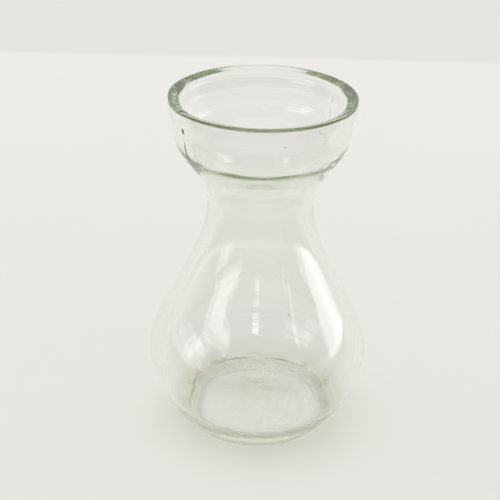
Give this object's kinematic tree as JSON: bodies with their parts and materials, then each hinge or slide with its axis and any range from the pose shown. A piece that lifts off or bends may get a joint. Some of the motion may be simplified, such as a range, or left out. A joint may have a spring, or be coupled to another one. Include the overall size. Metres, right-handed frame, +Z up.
{
  "type": "hyacinth forcing vase",
  "caption": "Clear glass forcing vase: a wide cup under a beaded rim holds a bulb above a narrow throat, and a round belly holds water for its roots.",
  "frame": {"origin": "middle of the foot, on the surface that the vase stands on", "axes": "+Z up along the vase's axis; the vase is round about it, and its two mould seams lie 34 degrees round from the XZ plane, towards +Y on the +X side"},
  "size_m": [0.0874, 0.0874, 0.14],
  "materials": {
    "glass": "clear glass with a faint green tint, fire-polished"
  },
  "bodies": {
    "root": {"glass_vase": "glass"}
  },
  "joints": []
}
